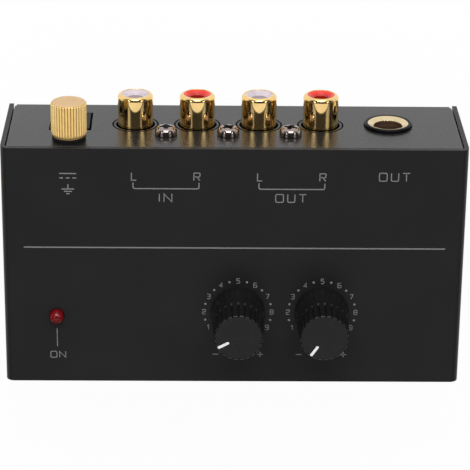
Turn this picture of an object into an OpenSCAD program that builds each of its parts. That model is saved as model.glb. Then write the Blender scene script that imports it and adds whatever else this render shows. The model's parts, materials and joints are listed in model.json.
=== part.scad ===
// Compact two-channel phono preamp in a folded sheet-metal box.
// It lies flat as in use: the labelled face is up (+Z), the sockets are at the rear (+Y).
// Every module below is drawn in the box frame, whose origin is the middle of the box's
// underside, and in_box() moves it so that the origin is the bottom centre of the whole part.

/* [Enclosure] */
// Width over the cover's side walls
box_w = 110; // [99:1:140]
// Depth from the front panel to the socket panel
box_d = 60.4; // [54:0.2:80]
// Height of the folded box without its feet
box_h = 31; // [28:0.5:40]
// Thickness of the folded sheet
sheet = 1.1; // [0.8:0.1:1.4]
// Inside radius of the cover's bends
bend_r = 0.9; // [0.5:0.1:1.5]
// Inside radius of the base's sharper bends
base_bend_r = 0.2; // [0.1:0.05:0.4]
// Outside radius of the base's bends
base_edge_r = 0.8; // [0.6:0.05:1.2]
// Gap between the base panels and the cover's side walls
seam = 0.35; // [0.2:0.05:0.5]
// Gap between the base panels' top edges and the cover's underside
cover_gap = 0.2; // [0.1:0.05:0.4]
// Width of the relief cut at each end of the base's long bends
relief_w = 0.4; // [0.3:0.1:1]
// Height of that relief cut
relief_h = 1.8; // [1.5:0.1:3]

/* [Side tabs and cover screws] */
// Height of the base's side tabs
tab_h = 12; // [11:0.5:15]
// Length of each side tab
tab_len = 14; // [10:1:18]
// Distance of each side tab's middle from the nearer panel's outer face
tab_inset = 13.2; // [12:0.2:15]
// Gap beside a side tab where the floor is notched for its bend
tab_relief = 1; // [0.6:0.1:1.5]
// Height of the cover screws above the box's underside
cover_screw_z = 8.5; // [8:0.25:9.5]
// Diameter of the cover screws' shank
cover_screw_d = 2.4; // [2:0.1:2.6]
// Diameter of their countersunk head
cover_screw_head_d = 4.6; // [4.4:0.1:5]
// Length of the cover screws
cover_screw_len = 4.5; // [4:0.5:6]
// Length of the cross recess in their heads
cover_recess_len = 2.4; // [2:0.1:3]
// Width of that recess
cover_recess_w = 0.5; // [0.4:0.05:0.7]
// Depth of that recess
cover_recess_depth = 0.8; // [0.5:0.05:1]

/* [Feet] */
// Diameter of each rubber foot
foot_d = 9; // [7:0.5:12]
// Height of each foot
foot_h = 2; // [1.5:0.1:3]
// Distance of each foot's centre from the box's edges
foot_inset = 9; // [7:0.5:12]
// Rounding of a foot's lower edge
foot_edge = 0.5; // [0.2:0.1:1]

/* [Circuit board] */
// Clear height between the box floor and the board
standoff_h = 3.7; // [3:0.1:5]
// Thickness of the board
board_t = 1.6; // [1:0.1:2]
// Gap between the board and the base's side edges
board_side_gap = 2.55; // [2.2:0.05:4]
// Gap between the board and the socket panel
board_rear_gap = 0.7; // [0.3:0.1:1.5]
// Gap between the board and the front panel
board_front_gap = 3.2; // [2:0.1:5]
// Distance of the board screws from the board's side edges
board_hole_inset = 3.4; // [3.2:0.1:4]
// Distance of the left rear board screw from the board's rear edge
board_hole_rear = 20.4; // [19:0.2:24]
// Distance of the two front board screws from the board's front edge
board_hole_front = 5.9; // [4:0.1:9]
// Gap between the phone jack and the head of the board screw behind it
board_hole_jack_gap = 0.6; // [0.3:0.1:3]
// Outside diameter of the board standoffs
standoff_d = 5.5; // [5:0.1:6]
// Diameter of the standoffs' spigots in the floor
spigot_d = 3.9; // [3.6:0.1:4.4]
// Diameter of the board screws' shanks
board_screw_d = 2.5; // [2:0.1:2.8]
// Length of the shanks
board_shank_len = 4.5; // [3.5:0.25:5]
// Diameter of the board screws' heads
board_head_d = 5; // [4.5:0.1:5.4]
// Height of the heads
board_head_h = 1.7; // [1.4:0.1:2]
// Diameter of the holes for the parts' leads
lead_hole_d = 1.3; // [1.2:0.05:1.5]
// Length of the leads under the board
lead_below = 1.2; // [0.6:0.1:1.8]

/* [Phono sockets] */
// X of the middle of the row of phono sockets
rca_row_x = -1.5; // [-3:0.1:0]
// Pitch of the four phono sockets
rca_pitch = 14.8; // [13.8:0.1:15]
// Height of the socket axes above the board
rca_h = 7.8; // [7:0.1:8.5]
// Outside diameter of the plated shells
shell_d = 8.5; // [8:0.1:8.7]
// Wall of the plated shells
shell_wall = 0.65; // [0.5:0.05:0.7]
// Distance that the shell narrows where the moulding grips it
shell_neck = 0.25; // [0.2:0.05:0.3]
// Distance that the shells stand out of the panel
shell_reach = 7.8; // [7:0.1:10]
// Width of the lip that is rolled in at the shell's mouth
lip_w = 0.375; // [0.3:0.025:0.45]
// Thickness of that lip
lip_t = 0.45; // [0.3:0.05:0.6]
// Radius of the shell's rolled shoulder
shoulder_r = 0.9; // [0.5:0.1:1]
// Gap between a shell and the moulded collar round it
collar_gap = 0.45; // [0.3:0.05:0.5]
// Depth of that gap behind the panel's outer face
collar_gap_depth = 2.5; // [1.5:0.1:3]
// Wall of the moulded collars
collar_wall = 0.5; // [0.4:0.05:0.7]
// Gap between a collar and the panel hole round it
collar_hole_gap = 0.4; // [0.2:0.05:0.55]
// Diameter of the hole for the plug's pin in each coloured insert
pin_hole_d = 3.6; // [3.4:0.1:3.8]
// Depth of the dished face of each insert
dish_depth = 0.9; // [0.5:0.1:1.2]
// Inside diameter of the centre contacts, where they grip the plug's pin
contact_bore_d = 3.3; // [3.25:0.05:3.4]
// Widening of the contacts' bore in front of that grip
contact_lead_in = 0.4; // [0.35:0.05:0.5]
// Wall of the centre contacts
contact_wall = 0.55; // [0.45:0.05:0.6]
// Distance of the contacts behind the inserts' dished face
contact_recess = 1.5; // [1:0.1:2]
// Depth of the moulded socket block behind the panel
block_depth = 9; // [8.5:0.25:11]
// Thickness of the block's face plate against the panel
face_plate_t = 3; // [2:0.25:4]
// Radius of the tower round each shell
tower_r = 6.3; // [6:0.1:6.6]
// Radius of the boss round each panel screw
boss_r = 3.3; // [2.8:0.1:3.6]
// Back wall of the block, behind the shells
seat_wall = 2; // [1.5:0.1:3]

/* [Panel screws] */
// Height of the panel screws above the socket axes
panel_screw_rise = 6.9; // [6.5:0.1:7.2]
// Diameter of the panel screws' heads
panel_head_d = 5.3; // [5:0.1:5.6]
// Height of the panel screws' heads
panel_head_h = 2; // [1.6:0.1:2.4]
// Diameter of their shanks
panel_shank_d = 2.8; // [2.4:0.1:3]
// Length of the shanks under the head
panel_shank_len = 8; // [6:0.5:9]

/* [Phone jack] */
// X of the phone jack
jack_x = 37; // [36:0.25:38]
// Diameter of the bush's bore, for a quarter-inch plug
jack_bore_d = 6.5; // [6.45:0.05:6.7]
// Outside diameter of the black nose ring
nose_d = 11.5; // [11.2:0.1:12.4]
// Distance that the nose stands out of the panel
nose_reach = 0.8; // [0.6:0.1:1.5]
// Outside diameter of the plated bush's bevel
bush_d = 9.8; // [9.4:0.1:10]
// Length of the bush behind the panel's outer face
bush_len = 8.5; // [7:0.5:10]
// Wall of the bush round its bore
bush_wall = 1; // [0.8:0.05:1.2]
// Thickness of the bush's flange behind the panel's outer face
bush_flange_t = 1; // [0.8:0.1:1.5]
// Widening of the bush's bore where the plug enters
jack_lead_in = 0.4; // [0.35:0.05:0.6]
// Width of the jack's body
jack_w = 15; // [14:0.2:15]
// Height of the jack's body
jack_h = 15.6; // [15:0.2:18]
// Depth of the jack's body behind the panel
jack_depth = 31; // [31:0.5:33]
// Width and height of the space inside the jack's body
jack_cavity = 10; // [9:0.2:11]
// Back wall of that space
jack_back_t = 1.5; // [1:0.1:2]
// Length of the contact leaves inside the jack
leaf_len = 9; // [7:0.5:9]
// Width of the leaves
leaf_w = 3; // [2:0.25:4]
// Thickness of the leaves
leaf_t = 0.4; // [0.3:0.05:0.5]
// Distance from the jack's axis to the leaves
leaf_offset = 2.45; // [2.3:0.05:3]
// Gap between the plated bush and the ring's leaf
ring_leaf_gap = 2.5; // [1:0.1:3]
// Gap between the tip's leaf and the back wall
tip_leaf_gap = 0.6; // [0.3:0.1:1]

/* [Power socket] */
// X of the power socket
dc_x = -39.2; // [-41:0.1:-38]
// Width of the power socket
dc_w = 9; // [8.5:0.1:9.2]
// Height of the power socket
dc_h = 11; // [10.5:0.1:11.5]
// Depth of the power socket
dc_depth = 14; // [13:0.5:15]
// Height of the socket's axis above the board
dc_axis_h = 6.5; // [6.2:0.1:6.6]
// Diameter of the socket's mouth
dc_bore_d = 6.3; // [6:0.1:6.5]
// Depth of the socket's mouth
dc_bore_depth = 9.5; // [9:0.25:10.5]
// Diameter of the centre pin
dc_pin_d = 2; // [1.9:0.05:2.5]
// Distance of the pin's tip behind the socket's face
dc_pin_recess = 1; // [0.5:0.1:2]
// Depth of the socket's face behind the panel's outer face
dc_recess = 0.05; // [0:0.05:0.5]
// Depth of the square block at the socket's face
dc_face_t = 3.5; // [2.5:0.1:4.5]
// Radius of the barrel behind it
dc_barrel_r = 4.2; // [3.8:0.05:4.3]
// Width of the side spring
dc_spring_w = 1.8; // [1:0.1:2.4]
// Thickness of the side spring
dc_spring_t = 0.3; // [0.2:0.05:0.4]
// Length of the side spring
dc_spring_len = 6; // [4:0.5:8]
// Gap beside the socket in its panel cut-out
dc_side_gap = 0.55; // [0.2:0.05:0.65]
// Gap above the socket in its panel cut-out
dc_top_gap = 1.4; // [0.5:0.1:1.6]

/* [Ground terminal] */
// X of the ground terminal
ground_x = -39.1; // [-42:0.1:-38]
// Distance of the terminal below the labelled face
ground_drop = 6.5; // [6:0.1:7]
// Diameter of the thumb screw's knurled head
thumb_d = 8.45; // [8:0.05:8.6]
// Length of the head
thumb_len = 8.3; // [6:0.1:9]
// Height of the bevel at the foot of the head
thumb_foot_h = 0.9; // [0.4:0.1:1.5]
// Distance that this bevel narrows the head
thumb_foot_w = 0.35; // [0.2:0.05:0.6]
// Number of grooves in the knurl
knurl_count = 36; // [24:2:44]
// Depth of the knurl
knurl_depth = 0.28; // [0.2:0.02:0.35]
// Diameter of the screw's shank
ground_shank_d = 4; // [3.5:0.1:4.2]
// Length of the shank under the head
ground_shank_len = 8; // [7.5:0.25:9]
// Thickness of the captive washer under the head
washer_t = 0.8; // [0.5:0.1:1]
// Diameter of the washer
washer_d = 8; // [6.5:0.1:8.2]
// Width across the flats of the nut inside the panel
nut_flats = 7; // [6.5:0.1:7.5]
// Thickness of the nut
nut_t = 3.2; // [2.8:0.1:3.6]

/* [Dials] */
// X of the left dial's shaft
dial_x = 1.1; // [0:0.1:2]
// Distance from the left shaft to the right one
dial_pitch = 20.2; // [17:0.1:21]
// Distance of both shafts behind the front panel's outer face
dial_front = 18.6; // [16:0.1:20]
// Anticlockwise turn of the left knob at rest, from twelve o'clock
level_turn = 118; // [-150:1:150]
// Anticlockwise turn of the right knob at rest, from twelve o'clock
volume_turn = 145; // [-150:1:150]

/* [Knobs] */
// Diameter of a knob at its skirt
knob_d = 13; // [12.6:0.1:14]
// Diameter of a knob at its top
knob_top_d = 11.5; // [11:0.1:12]
// Height of a knob
knob_h = 14.2; // [13:0.1:16]
// Gap between a knob and the labelled face
knob_gap = 0.5; // [0.3:0.1:1]
// Rounding of a knob's top edge
knob_edge = 0.4; // [0.2:0.05:0.6]
// Height of the straight band at the foot of the skirt
knob_band = 0.9; // [0.5:0.1:1.5]
// Number of grooves round a knob
flute_count = 24; // [18:1:26]
// Length of the grooves, measured down from the top
flute_len = 6.8; // [5:0.1:8]
// Depth of the grooves
flute_depth = 0.5; // [0.3:0.05:0.6]
// Full opening angle of a groove
flute_angle = 64; // [40:1:80]
// Steepness of the grooves' run-out at their lower end
flute_exit_angle = 50; // [35:1:65]
// Turn of the grooves from the pointer
flute_shift = 3; // [0:0.5:15]
// Depth of the hollow in the knob's underside
knob_hollow = 5.5; // [4:0.1:6]
// Thickness of the skirt's wall
knob_wall = 1.1; // [0.9:0.1:1.2]
// Wall of the hub round the shaft
hub_wall = 1; // [0.7:0.1:1.3]
// Thickness of the knob's crown over the shaft
crown_t = 2.2; // [1.5:0.1:3]
// Length of the white pointer
pointer_len = 3; // [2:0.1:4]
// Width of the pointer
pointer_w = 0.65; // [0.4:0.05:0.9]
// Depth that the pointer is let into the crown
pointer_t = 0.5; // [0.3:0.05:0.8]
// Distance that the pointer stands proud of the crown
pointer_proud = 0.04; // [0:0.01:0.1]

/* [Potentiometers] */
// Width of a potentiometer's case
pot_w = 9.8; // [9.6:0.1:11]
// Depth of the case
pot_d = 11.3; // [10.5:0.1:12]
// Height of the case above the board
pot_h = 12; // [10:0.25:13]
// Thickness of the metal frame on the case
frame_t = 0.8; // [0.6:0.1:1]
// Wall of the bush round the shaft
pot_bush_wall = 0.5; // [0.4:0.05:0.8]
// Length of the bush above the frame
pot_bush_len = 6; // [4:0.5:6]
// Side wall of the case where it is thinnest
pot_wall = 0.4; // [0.3:0.05:0.6]
// Floor of the case
pot_floor_t = 1.2; // [0.8:0.1:1.5]
// Diameter of the shaft
shaft_d = 6; // [5.9:0.05:6.1]
// Diameter of the shaft's tail inside the case
tail_d = 3; // [2.6:0.1:3.4]
// Thickness of the collar that keeps the shaft in its bush
shaft_collar_t = 0.8; // [0.5:0.1:1]
// Radius of that collar beyond the shaft
shaft_collar_w = 0.7; // [0.5:0.1:1]
// Gap between the shaft and the cover's hole round it
shaft_hole_gap = 1; // [0.5:0.1:1.5]
// Length of the slot across the shaft's end
shaft_slot_len = 6; // [3:0.5:8]
// Width of that slot
shaft_slot_w = 1; // [0.6:0.1:1.4]
// Gap between the rotor discs and the case round them
rotor_gap = 0.3; // [0.2:0.05:0.4]
// Thickness of each rotor disc
rotor_t = 1; // [0.8:0.1:1.4]
// Gap under the lower disc
rotor_lift = 1; // [0.6:0.1:1.5]
// Distance between the two discs
rotor_gang = 4.5; // [3:0.25:5]
// Wall of the rotor's hub round the shaft's tail
rotor_hub_wall = 1; // [0.6:0.1:1.5]
// Pitch of the case's pins
pot_pin_pitch = 2.5; // [2:0.1:3]
// Distance of the two rows of pins from the shaft's axis
pot_pin_row = 3; // [2:0.1:4]

/* [Power lamp] */
// Distance of the lamp from the cover's left side
led_inset = 12.6; // [11:0.1:14]
// Distance of the lamp behind the front panel's outer face
led_front = 17.4; // [15:0.1:20]
// Diameter of the lens
led_d = 3.5; // [3:0.1:3.6]
// Height of the dome's top above the labelled face
led_reach = 2.4; // [2:0.1:3]
// Width of the lens's flange beyond the lens
led_flange_w = 0.35; // [0.25:0.05:0.5]
// Thickness of that flange
led_flange_t = 1; // [0.6:0.1:1.4]
// Width of the spacer beyond the flange
led_spacer_w = 0.3; // [0.1:0.1:0.6]
// Diameter of the lamp's leads
lead_d = 0.5; // [0.4:0.05:0.6]
// Distance between the two leads
lead_pitch = 2.2; // [2:0.1:2.54]

/* [Amplifier chips] */
// Length of a chip
chip_len = 9.6; // [9:0.1:10]
// Width of a chip over its moulding
chip_w = 6.4; // [6:0.1:7]
// Thickness of a chip
chip_t = 3.2; // [2.8:0.1:3.6]
// Gap between a chip and the board
chip_lift = 0.6; // [0.4:0.1:1]
// Pitch of the chip's legs
leg_pitch = 2.54; // [2.2:0.02:2.6]
// Thickness of the legs
leg_t = 0.3; // [0.2:0.05:0.4]
// Width of the legs
leg_w = 0.6; // [0.4:0.05:0.8]
// Distance that the legs stand out beside the chip
leg_out = 0.7; // [0.5:0.1:1]
// Distance of the chips to the left of the left dial
chip_offset = 15.1; // [13:0.1:16]
// Distance of the front chip in front of the dials
chip_front = 3.4; // [2.5:0.1:5]
// Distance of the rear chip in front of the small capacitors' row
chip_rear = 9; // [8:0.1:9.5]

/* [Capacitors] */
// Diameter of the small can capacitors
cap_d = 5; // [4:0.5:6]
// Height of the small can capacitors
cap_h = 11; // [9:0.5:13]
// Pitch of their row
cap_pitch = 8; // [7.5:0.25:8.5]
// Distance of the first one from the board's left edge
cap_inset = 17; // [14:0.5:18]
// Distance of their row in front of the socket block
cap_row = 11.1; // [10:0.1:12]
// Pitch of their two leads
cap_lead_pitch = 2; // [1.5:0.1:2.5]
// Diameter of the filter capacitor
filter_d = 8; // [6.5:0.5:10]
// Height of the filter capacitor
filter_h = 14; // [11:0.5:16]
// Distance of the filter capacitor from the board's right edge
filter_inset = 13; // [12:0.5:16]
// Gap between the phone jack and the filter capacitor
filter_gap = 6.1; // [4:0.1:7]
// Pitch of its two leads
filter_lead_pitch = 3.5; // [3:0.1:5]
// Length of the film capacitors
film_len = 7.2; // [6:0.1:8]
// Width of the film capacitors
film_w = 2.5; // [2:0.1:3.5]
// Height of the film capacitors
film_h = 6.5; // [5:0.1:8]
// Pitch of their two leads
film_lead_pitch = 5; // [4:0.1:5.5]
// Distance between the two film capacitors
film_pitch = 10; // [9:0.5:11]
// Gap between the phone jack and the nearer film capacitor
film_gap = 3.9; // [2:0.1:5]
// Distance of the film capacitors in front of the socket block
film_row = 16.1; // [15:0.1:17]

/* [Regulator and resistors] */
// Width of the voltage regulator
reg_w = 10; // [9:0.2:10.4]
// Thickness of its moulding
reg_t = 4.4; // [4:0.1:4.8]
// Height of its moulding
reg_h = 9; // [8:0.2:10]
// Height of its metal tab above the moulding
reg_tab_h = 6; // [5:0.2:7]
// Thickness of the tab
reg_tab_t = 1.3; // [1:0.1:1.5]
// Diameter of the hole in the tab
reg_hole_d = 3.6; // [3:0.1:4]
// Height of the moulding above the board
reg_lift = 3; // [1.5:0.1:4]
// Distance of the regulator from the board's left edge
reg_inset = 21; // [18:0.5:23]
// Distance of the regulator in front of the dials
reg_front = 2.4; // [0:0.1:4]
// Length of a resistor's body
resistor_len = 6.3; // [5:0.1:7]
// Diameter of a resistor's body
resistor_d = 2.3; // [1.8:0.1:2.5]
// Distance between a resistor's two bent leads
resistor_span = 9; // [8:0.2:10]
// Diameter of a resistor's leads
resistor_lead_d = 0.6; // [0.4:0.05:0.8]
// Height of the resistors' axes above the board
resistor_rise = 1.4; // [1.3:0.1:2]
// Pitch of the resistors
resistor_pitch = 4; // [3:0.1:4.2]
// Gap between the last small capacitor and the first resistor's axis
resistor_gap = 3.5; // [2:0.1:4]
// Gap between the socket block and the resistors
resistor_row = 1.6; // [1:0.1:3]

/* [Clearances] */
// Radial gap of a shaft that turns in a bore
run_gap = 0.05; // [0.02:0.01:0.09]
// Radial gap between pieces that are pressed or glued together
press_gap = 0.03; // [0.02:0.01:0.05]
// Gap between pieces that are set close together
near_gap = 0.1; // [0.05:0.01:0.2]
// Radial gap of a screw in a plain hole
screw_gap = 0.25; // [0.15:0.05:0.4]

/* [Hidden] */
rca_count = 4;
cap_count = 4;
resistor_count = 6;

$fn = 48;
cut = 1; // overshoot of every cutting tool
fine = 8; // steps of a quarter arc in a turned profile

// Finishes
cover_black = "#2a2a2a";
panel_black = "#3a3a3a";
moulding_black = "#1c1c1c";
knob_black = "#202020";
gold = "#d8ac48";
brass = "#e2b45c";
nickel = "#5a5356";
tin = "#b8b8b4";
board_green = "#1f5a34";
insert_red = "#d21a1a";
lamp_red = "#a01018";
phenolic_brown = "#6b4a2a";
sleeve_blue = "#26344e";
film_yellow = "#c8b060";
lacquer_tan = "#b9a27c";

// Box
base_w = box_w - 2 * (sheet + seam);
panel_h = box_h - sheet - cover_gap;
panel_out_y = box_d / 2;
panel_in_y = panel_out_y - sheet;
outer_bend_r = bend_r + sheet;
base_bend = base_bend_r + sheet; // width of the base's bends, inwards from the outer face
tab_y = box_d / 2 - tab_inset;

// Board
board_top = sheet + standoff_h + board_t;
board_under = board_top - board_t;
board_w = base_w - 2 * board_side_gap;
board_left_x = -board_w / 2;
board_right_x = board_w / 2;
board_front_y = -panel_in_y + board_front_gap;
board_rear_y = panel_in_y - board_rear_gap;
board_hole_x = board_w / 2 - board_hole_inset;

// Phono sockets
rca_z = board_top + rca_h;
shell_r = shell_d / 2;
shell_bore_r = shell_r - shell_wall;
shell_neck_r = shell_r - shell_neck;
shell_root = 0.2; // the narrow neck ends this far outside the panel
mouth_r = shell_bore_r - lip_w;
mouth_edge = 0.05;
shoulder = min(shoulder_r, shell_r - mouth_r - 2 * mouth_edge); // the shoulder stays outside the mouth
collar_bore_d = shell_d + 2 * collar_gap;
collar_d = collar_bore_d + 2 * collar_wall;
collar_hole_d = collar_d + 2 * collar_hole_gap;
seat_depth = sheet + block_depth - seat_wall;
insert_face = shell_reach - near_gap;
dish_floor = insert_face - dish_depth;
contact_d = contact_bore_d + 2 * contact_wall;
tail_w = 1;
tail_t = 0.5;
contact_back = sheet + block_depth + near_gap + tail_t;

// Phone jack
jack_z = rca_z;
bush_tube_d = jack_bore_d + 2 * bush_wall;
jack_wall_front = bush_len + near_gap;
jack_space_end = sheet + jack_depth - jack_back_t;
jack_left_x = jack_x - jack_w / 2;
jack_back_y = panel_in_y - jack_depth;

// Power socket and ground terminal
dc_axis_z = board_top + dc_axis_h;
dc_back = dc_recess + dc_depth;
ground_z = box_h - ground_drop;

// Dials and lamp
dials = ["level", "volume"];
dial_turn = [level_turn, volume_turn];
dial_y = -box_d / 2 + dial_front;
knob_z = box_h + knob_gap;
hub_d = shaft_d + 2 * hub_wall;
skirt_tilt = atan((knob_d - knob_top_d) / 2 / (knob_h - knob_band - knob_edge));
flute_end_z = knob_h - flute_len;
pointer_start = knob_top_d / 2 - knob_edge / 2 - pointer_len;
frame_z = board_top + pot_h;
shaft_top_z = knob_z + knob_h - crown_t - near_gap;
cavity_d = pot_w - 2 * pot_wall;
rotor_d = cavity_d - 2 * rotor_gap;
led_x = -box_w / 2 + led_inset;
led_y = -box_d / 2 + led_front;
led_flange_d = led_d + 2 * led_flange_w;
led_flange_z = box_h - sheet - near_gap - led_flange_t;

// Places of the board parts
block_front_y = panel_in_y - block_depth;
cap_y = block_front_y - cap_row;
film_y = block_front_y - film_row;
resistor_y = block_front_y - resistor_row - resistor_span / 2;
filter_x = board_right_x - filter_inset;
filter_y = jack_back_y - filter_gap - filter_d / 2;
chip_x = dial_x - chip_offset;
reg_x = board_left_x + reg_inset;
reg_y = dial_y - reg_front;

// The part's own depth, from the front panel to the furthest socket, is centred on the origin
thumb_seat = washer_t + 2 * near_gap;
rear_reach = max(shell_reach, thumb_seat + thumb_len);
box_y = -rear_reach / 2;

// ---- placing ----

module in_box() {
  translate([0, box_y, foot_h]) children();
}

// Local +Z points out of the socket panel, from its outer face; local +Y points down
module at_panel(x, z) {
  translate([x, panel_out_y, z]) rotate([-90, 0, 0]) children();
}

// Local +Y points to the knob's pointer
module at_dial(i) {
  at_pot(i) rotate([0, 0, dial_turn[i]]) children();
}

// The potentiometer's case doesn't turn
module at_pot(i) {
  translate([dial_x + i * dial_pitch, dial_y, 0]) children();
}

// The right rear screw is set forward, in front of the phone jack
module at_board_holes() {
  rear_left_y = board_rear_y - board_hole_rear;
  rear_right_y = jack_back_y - board_hole_jack_gap - board_head_d / 2;
  front_y = board_front_y + board_hole_front;
  translate([-board_hole_x, rear_left_y, 0]) children();
  translate([board_hole_x, rear_right_y, 0]) children();
  for (side = [-1, 1]) translate([side * board_hole_x, front_y, 0]) children();
}

module at_cover_screws() {
  for (side = [-1, 1], y = [-tab_y, tab_y])
    translate([side * box_w / 2, y, cover_screw_z]) rotate([0, side * 90, 0]) children();
}

// An outline in X and Z, carried along Y
module along_y(length) {
  rotate([90, 0, 0]) linear_extrude(height = length, center = true) children();
}

// An outline in Y and Z, carried along X
module along_x(length) {
  rotate([90, 0, 90]) linear_extrude(height = length, center = true) children();
}

function rca_x(i) = rca_row_x + (i - (rca_count - 1) / 2) * rca_pitch;
function panel_screw_x(i) = rca_x(i) + rca_pitch / 2;
function cap_x(i) = board_left_x + cap_inset + i * cap_pitch;
function film_x(i) = jack_left_x - film_gap - film_len / 2 - i * film_pitch;
function resistor_x(i) = cap_x(cap_count - 1) + cap_d / 2 + resistor_gap + i * resistor_pitch;
function chip_y(i) = i == 0 ? cap_y - chip_rear : dial_y - chip_front;

// Quarter arc about [r, z] from angle a0 to a1, as points of a turned profile
function arc_points(r, z, radius, a0, a1) = [
  for (k = [0:fine]) let (a = a0 + (a1 - a0) * k / fine) [r + radius * cos(a), z + radius * sin(a)]
];

module turned(points) {
  rotate_extrude($fn = 64) polygon(points);
}

// A drilled hole along Z, from the given height through the given thickness
module drill(d, z, thickness) {
  translate([0, 0, z - cut]) cylinder(d = d, h = thickness + 2 * cut);
}

// A tube that stands on z = 0
module tube(d, bore_d, length) {
  difference() {
    cylinder(d = d, h = length);
    drill(bore_d, 0, length);
  }
}

// ---- leads through the board ----

function pair(x, y, pitch) = [[x - pitch / 2, y], [x + pitch / 2, y]];

function chip_leads(i) = [
  for (side = [-1, 1], k = [-1.5:1.5])
    [chip_x + k * leg_pitch, chip_y(i) + side * (chip_w / 2 + leg_out - leg_t / 2)]
];

function pot_pins(i) = [
  for (row = [-1, 1], k = [-1, 0, 1])
    [dial_x + i * dial_pitch + k * pot_pin_pitch, dial_y + row * pot_pin_row]
];

function reg_leads() = [for (k = [-1, 0, 1]) [reg_x + k * leg_pitch, reg_y + reg_t / 2]];

function resistor_leads(i) = [
  for (side = [-1, 1]) [resistor_x(i), resistor_y + side * (resistor_span - resistor_lead_d) / 2]
];

all_leads = concat(
  [for (i = [0:rca_count - 1]) [rca_x(i), panel_out_y - contact_back + tail_t / 2]],
  [[dc_x, panel_out_y - dc_back - tail_t / 2]],
  pair(led_x, led_y, lead_pitch),
  [for (i = [0, 1], p = pot_pins(i)) p],
  [for (i = [0, 1], p = chip_leads(i)) p],
  [for (i = [0:cap_count - 1], p = pair(cap_x(i), cap_y, cap_lead_pitch)) p],
  pair(filter_x, filter_y, filter_lead_pitch),
  [for (i = [0, 1], p = pair(film_x(i), film_y, film_lead_pitch)) p],
  reg_leads(),
  [for (i = [0:resistor_count - 1], p = resistor_leads(i)) p]
);

// Round leads from under the board up into their part
module leads(places, d, rise) {
  for (p = places) translate([p.x, p.y, board_under - lead_below])
    cylinder(d = d, h = lead_below + board_t + rise);
}

// ---- folded sheet ----

// Solid outline of a box end with its two upper corners rounded
module bent_outline(w, h, r) {
  translate([-w / 2, 0]) square([w, h - r]);
  translate([-w / 2 + r, 0]) square([w - 2 * r, h]);
  for (side = [-1, 1]) translate([side * (w / 2 - r), h - r]) circle(r = r);
}

// Section of a sheet folded down along both sides
module folded_outline(w, h, outer_r, inner_r) {
  difference() {
    bent_outline(w, h, outer_r);
    translate([0, -cut]) bent_outline(w - 2 * sheet, h - sheet + cut, inner_r);
  }
}

// The base's section, with its two walls standing up
module tray_outline(w, h) {
  translate([0, h]) mirror([0, 1]) folded_outline(w, h, base_edge_r, base_bend_r);
}

module top_cover() {
  color(cover_black) in_box() difference() {
    along_y(box_d) folded_outline(box_w, box_h, outer_bend_r, bend_r);
    for (i = [0, 1]) at_pot(i) drill(shaft_d + 2 * shaft_hole_gap, box_h - sheet, sheet);
    translate([led_x, led_y, 0]) drill(led_d + 2 * near_gap, box_h - sheet, sheet);
    at_cover_screws() countersink();
  }
}

module countersink() {
  hole_d = cover_screw_d + 2 * near_gap;
  drill(hole_d, -sheet, sheet);
  translate([0, 0, -sheet]) cylinder(d1 = hole_d, d2 = cover_screw_head_d + 2 * near_gap, h = sheet);
}

module base_tray() {
  color(panel_black) in_box() difference() {
    union() {
      difference() {
        along_x(base_w) tray_outline(box_d, panel_h);
        side_notches();
        bend_reliefs();
      }
      side_tabs();
    }
    panel_openings();
    at_board_holes() drill(spigot_d + 2 * press_gap, 0, sheet);
    at_cover_screws() drill(cover_screw_d + 2 * run_gap, -2 * sheet - seam, sheet);
  }
}

// The floor is cut away where a side tab is folded up
module side_notches() {
  for (side = [-1, 1], y = [-tab_y, tab_y])
    translate([side * base_w / 2 - base_bend, y - tab_len / 2 - tab_relief, -cut])
      cube([2 * base_bend, tab_len + 2 * tab_relief, sheet + 2 * cut]);
}

module side_tabs() {
  for (side = [-1, 1], y = [-tab_y, tab_y]) intersection() {
    translate([0, y, 0]) along_y(tab_len) tray_outline(base_w, tab_h);
    translate([side * base_w / 2 - 2 * base_bend, y - tab_len, -cut])
      cube([4 * base_bend, 2 * tab_len, tab_h + 2 * cut]);
  }
}

// Small bevels let the bends clear the cover's walls
module bend_reliefs() {
  for (side = [-1, 1]) mirror([side < 0 ? 1 : 0, 0, 0])
    for (wall = [-1, 1]) translate([0, wall * box_d / 2, 0]) along_y(2 * base_bend)
      polygon([
        [base_w / 2 - relief_w, -cut],
        [base_w / 2 + cut, -cut],
        [base_w / 2 + cut, relief_h],
        [base_w / 2, relief_h],
        [base_w / 2 - relief_w, relief_h - relief_w]
      ]);
}

module panel_openings() {
  for (i = [0:rca_count - 1]) at_panel(rca_x(i), rca_z) drill(collar_hole_d, -sheet, sheet);
  at_panel_screws() drill(panel_shank_d + 2 * screw_gap, -sheet, sheet);
  at_panel(jack_x, jack_z) drill(nose_d + 2 * near_gap, -sheet, sheet);
  at_panel(ground_x, ground_z) drill(ground_shank_d + 2 * screw_gap, -sheet, sheet);
  translate([dc_x - dc_w / 2 - dc_side_gap, panel_in_y - cut, board_top])
    cube([dc_w + 2 * dc_side_gap, sheet + 2 * cut, dc_h + dc_top_gap]);
}

module at_panel_screws() {
  for (i = [0:rca_count - 2]) at_panel(panel_screw_x(i), rca_z + panel_screw_rise) children();
}

module cover_screws() {
  color(moulding_black) in_box() at_cover_screws() difference() {
    union() {
      translate([0, 0, -sheet]) cylinder(d1 = cover_screw_d, d2 = cover_screw_head_d, h = sheet);
      translate([0, 0, -cover_screw_len]) cylinder(d = cover_screw_d, h = cover_screw_len);
    }
    cross_recess(cover_recess_len, cover_recess_w, cover_recess_depth);
  }
}

// A cross-shaped driver recess, cut down from z = 0
module cross_recess(length, width, depth) {
  for (a = [0, 90]) rotate([0, 0, a])
    translate([-length / 2, -width / 2, -depth]) cube([length, width, depth + cut]);
}

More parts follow.
